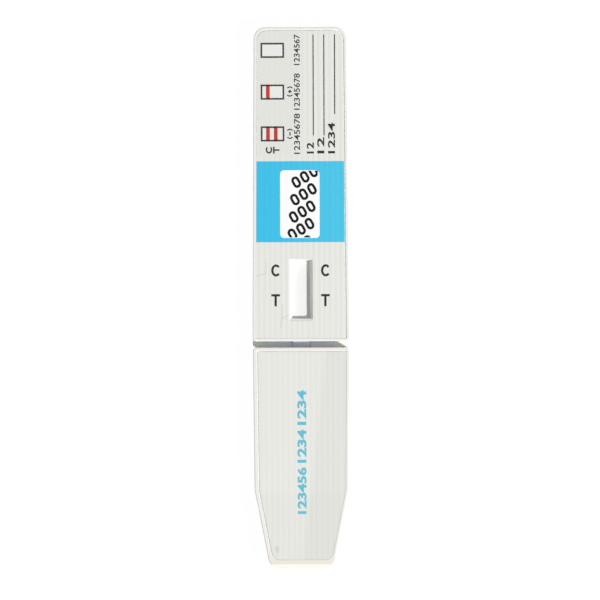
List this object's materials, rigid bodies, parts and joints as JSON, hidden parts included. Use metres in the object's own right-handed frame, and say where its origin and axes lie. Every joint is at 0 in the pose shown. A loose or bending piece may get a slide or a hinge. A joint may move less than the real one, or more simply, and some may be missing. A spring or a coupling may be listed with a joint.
{
  "type": "lateral flow dip test card",
  "caption": "Slim moulded dip test card with a viewing window over its test strip, a printed label and a removable tapered cap over the strip's dip end.",
  "frame": {"origin": "centre of the capped card's outline, on the plane of its back face", "axes": "+Y runs along the card towards the handle's top, +X across it to the right as seen from the front, and +Z out of the printed front face"},
  "size_m": [0.0226, 0.1254, 0.0046],
  "materials": {
    "shell": "satin moulded white",
    "cap_shell": "satin moulded white",
    "label_film": "satin light grey film with faint ribs",
    "backing_card": "smooth white vinyl",
    "membrane": "fine matt white",
    "conjugate_pad": "matt dried pink glass fibre",
    "pad": "matt off-white fibre",
    "tape": "smooth pale blue film",
    "print_blue": "satin ink",
    "print_white": "satin ink",
    "print_black": "satin ink",
    "print_red": "satin ink"
  },
  "bodies": {
    "card": {"back_cover": "shell", "front_cover": "shell", "card_label": "label_film", "strip_backing": "backing_card", "membrane": "membrane", "conjugate_pad": "conjugate_pad", "sample_pad": "pad", "absorbent_pad": "pad", "dip_end_tape": "tape", "absorbent_tape": "tape", "label_print_blue": "print_blue", "label_print_white": "print_white", "label_print_black": "print_black", "label_print_red": "print_red"},
    "cap": {"cap": "cap_shell", "cap_label": "label_film"}
  },
  "joints": [
    {"name": "cap_pull", "type": "slide", "parent": "card", "child": "cap", "axis": [0, -1, 0], "range_m": [0, 0.05]}
  ]
}
